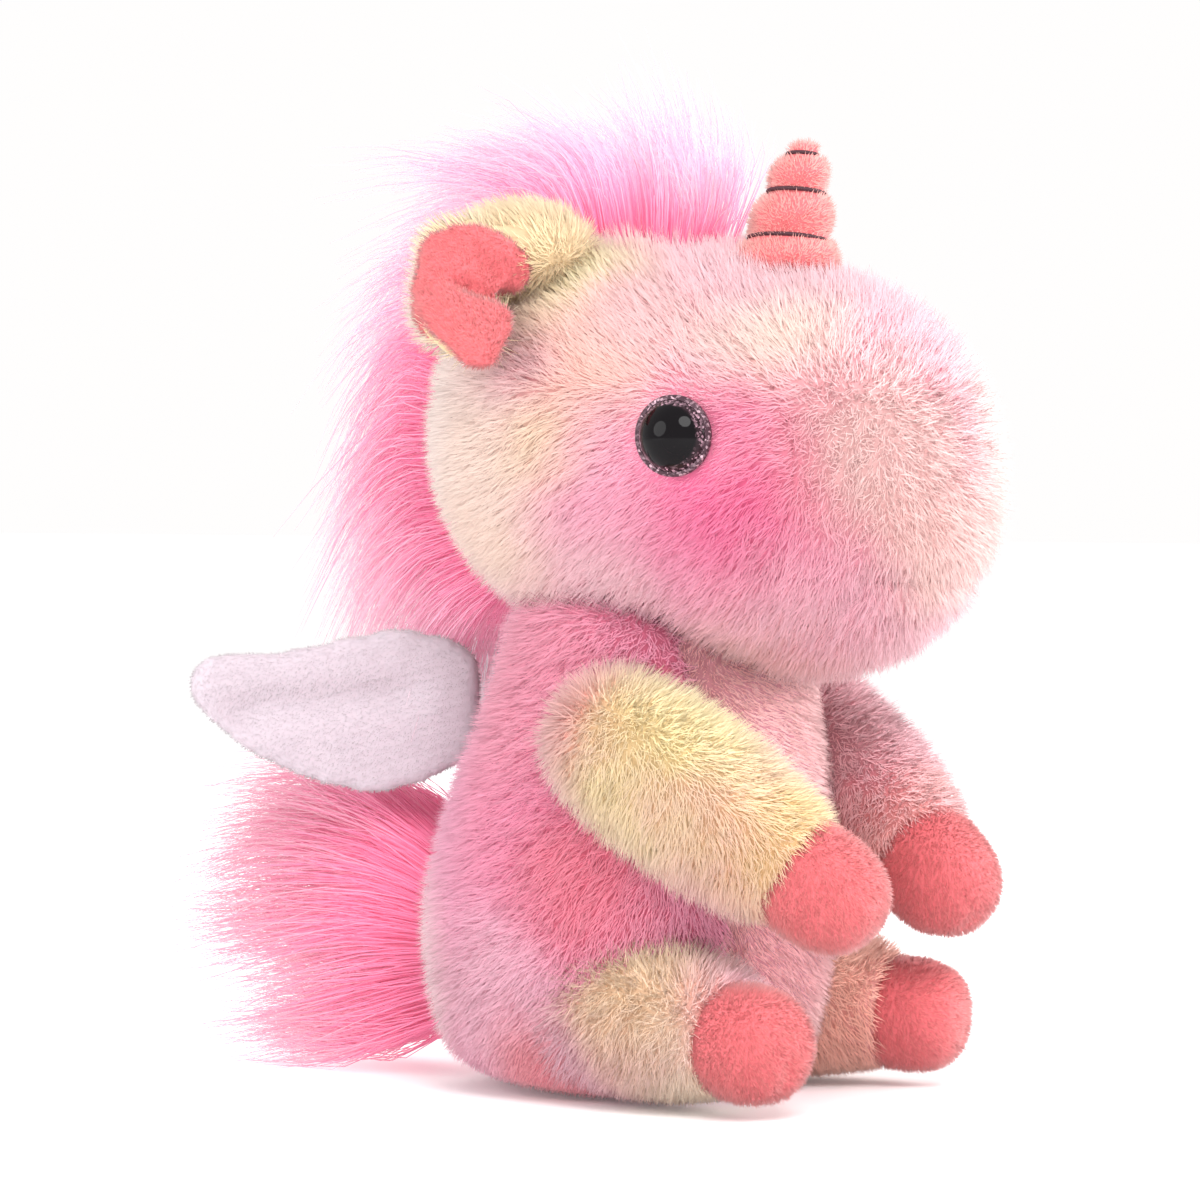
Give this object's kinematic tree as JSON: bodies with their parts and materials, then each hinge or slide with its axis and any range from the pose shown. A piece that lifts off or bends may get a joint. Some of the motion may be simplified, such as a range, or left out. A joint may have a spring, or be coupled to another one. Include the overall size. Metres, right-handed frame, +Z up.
{
  "type": "plush unicorn toy",
  "caption": "Seated plush unicorn with a large head, stubby limbs, folded ears, rolled horn, small wings and long-haired mane and tail.",
  "frame": {"origin": "middle of the flat seat panel, on the surface that the toy sits on", "axes": "+Z up, -Y the way the toy faces, +X the toy's own left"},
  "size_m": [0.096, 0.1715, 0.1785],
  "materials": {
    "tie_dye_fur": "short plush fur, dyed in soft patches of pink, cream yellow, peach and lavender",
    "belly_plush": "short plush, pale mauve",
    "coral_velour": "short-pile velour, combed in rows",
    "wing_velboa": "short velboa with visible knit rows",
    "long_pile": "long straight faux fur, hot pink at the root and pale pink at the tip",
    "knit_backing": "plain knit backing",
    "fibre_fill": "loose polyester fibre",
    "pouch_cotton": "plain woven cotton",
    "bean_pellets": "loose round pellets",
    "eye_dome": "polished black dome",
    "eye_glitter": "dark glitter under clear plastic",
    "eye_hardware": "moulded plastic",
    "dark_thread": "twisted thread"
  },
  "bodies": {
    "torso": {"body_side_left": "tie_dye_fur", "body_side_right": "tie_dye_fur", "belly_panel": "belly_plush", "seat_panel": "tie_dye_fur", "body_stuffing": "fibre_fill", "pellet_pouch": "pouch_cotton", "pellets": "bean_pellets"},
    "neck": {"neck_stuffing": "fibre_fill"},
    "head": {"head_side_left": "tie_dye_fur", "head_side_right": "tie_dye_fur", "head_gusset": "tie_dye_fur", "chin_panel": "tie_dye_fur", "head_stuffing": "fibre_fill", "left_eye_lens": "eye_dome", "left_eye_glitter_disc": "eye_glitter", "left_eye_post": "eye_hardware", "left_eye_washer": "eye_hardware", "right_eye_lens": "eye_dome", "right_eye_glitter_disc": "eye_glitter", "right_eye_post": "eye_hardware", "right_eye_washer": "eye_hardware", "mane_tape": "knit_backing", "mane_hair": "long_pile", "forelock_hair": "long_pile"},
    "horn": {"horn_cover": "coral_velour", "horn_stuffing": "fibre_fill", "horn_thread": "dark_thread"},
    "left_ear": {"left_ear_outer": "tie_dye_fur", "left_ear_lining": "coral_velour"},
    "left_arm": {"left_arm_sleeve": "tie_dye_fur", "left_arm_hoof": "coral_velour", "left_arm_stuffing": "fibre_fill"},
    "left_leg": {"left_leg_sleeve": "tie_dye_fur", "left_leg_hoof": "coral_velour", "left_leg_stuffing": "fibre_fill"},
    "left_wing": {"left_wing_front": "wing_velboa", "left_wing_back": "wing_velboa", "left_wing_padding": "fibre_fill"},
    "right_ear": {"right_ear_outer": "tie_dye_fur", "right_ear_lining": "coral_velour"},
    "right_arm": {"right_arm_sleeve": "tie_dye_fur", "right_arm_hoof": "coral_velour", "right_arm_stuffing": "fibre_fill"},
    "right_leg": {"right_leg_sleeve": "tie_dye_fur", "right_leg_hoof": "coral_velour", "right_leg_stuffing": "fibre_fill"},
    "right_wing": {"right_wing_front": "wing_velboa", "right_wing_back": "wing_velboa", "right_wing_padding": "fibre_fill"},
    "tail": {"tail_hair": "long_pile", "tail_core": "knit_backing"}
  },
  "joints": [
    {"name": "head_turn", "type": "hinge", "parent": "torso", "child": "neck", "pos_m": [0, -0.005, 0.074], "axis": [0, 0, 1], "range_deg": [-20, 20], "stiffness_Nm_per_rad": 0.4},
    {"name": "head_nod", "type": "hinge", "parent": "neck", "child": "head", "pos_m": [0, -0.005, 0.074], "axis": [-1, 0, 0], "range_deg": [-7, 7], "stiffness_Nm_per_rad": 0.8},
    {"name": "horn_lean", "type": "hinge", "parent": "head", "child": "horn", "pos_m": [0, -0.0355, 0.1497], "axis": [-1, 0, 0], "range_deg": [-6, 6], "stiffness_Nm_per_rad": 0.02},
    {"name": "left_ear_fold", "type": "hinge", "parent": "head", "child": "left_ear", "pos_m": [0.0286, 0.004, 0.1434], "axis": [0.2892, 0.057, -0.9556], "range_deg": [-12, 12], "stiffness_Nm_per_rad": 0.01},
    {"name": "right_ear_fold", "type": "hinge", "parent": "head", "child": "right_ear", "pos_m": [-0.0286, 0.004, 0.1434], "axis": [0.2892, -0.057, 0.9556], "range_deg": [-12, 12], "stiffness_Nm_per_rad": 0.01},
    {"name": "left_arm_swing", "type": "hinge", "parent": "torso", "child": "left_arm", "pos_m": [0.031, -0.014, 0.0655], "axis": [-1, 0, 0], "range_deg": [-2, 16], "stiffness_Nm_per_rad": 0.1},
    {"name": "right_arm_swing", "type": "hinge", "parent": "torso", "child": "right_arm", "pos_m": [-0.031, -0.014, 0.0655], "axis": [-1, 0, 0], "range_deg": [-2, 16], "stiffness_Nm_per_rad": 0.1},
    {"name": "left_leg_spread", "type": "hinge", "parent": "torso", "child": "left_leg", "pos_m": [0.02, -0.008, 0.016], "axis": [0, 0, 1], "range_deg": [-10, 18], "stiffness_Nm_per_rad": 0.1},
    {"name": "right_leg_spread", "type": "hinge", "parent": "torso", "child": "right_leg", "pos_m": [-0.02, -0.008, 0.016], "axis": [0, 0, -1], "range_deg": [-10, 18], "stiffness_Nm_per_rad": 0.1},
    {"name": "left_wing_flap", "type": "hinge", "parent": "torso", "child": "left_wing", "pos_m": [0.0085, 0.0305, 0.068], "axis": [0, 0, -1], "range_deg": [-20, 20], "stiffness_Nm_per_rad": 0.02},
    {"name": "right_wing_flap", "type": "hinge", "parent": "torso", "child": "right_wing", "pos_m": [-0.0085, 0.0305, 0.068], "axis": [0, 0, 1], "range_deg": [-20, 20], "stiffness_Nm_per_rad": 0.02},
    {"name": "tail_swing", "type": "hinge", "parent": "torso", "child": "tail", "pos_m": [0, 0.0355, 0.026], "axis": [0, 0, 1], "range_deg": [-15, 15], "stiffness_Nm_per_rad": 0.05}
  ]
}
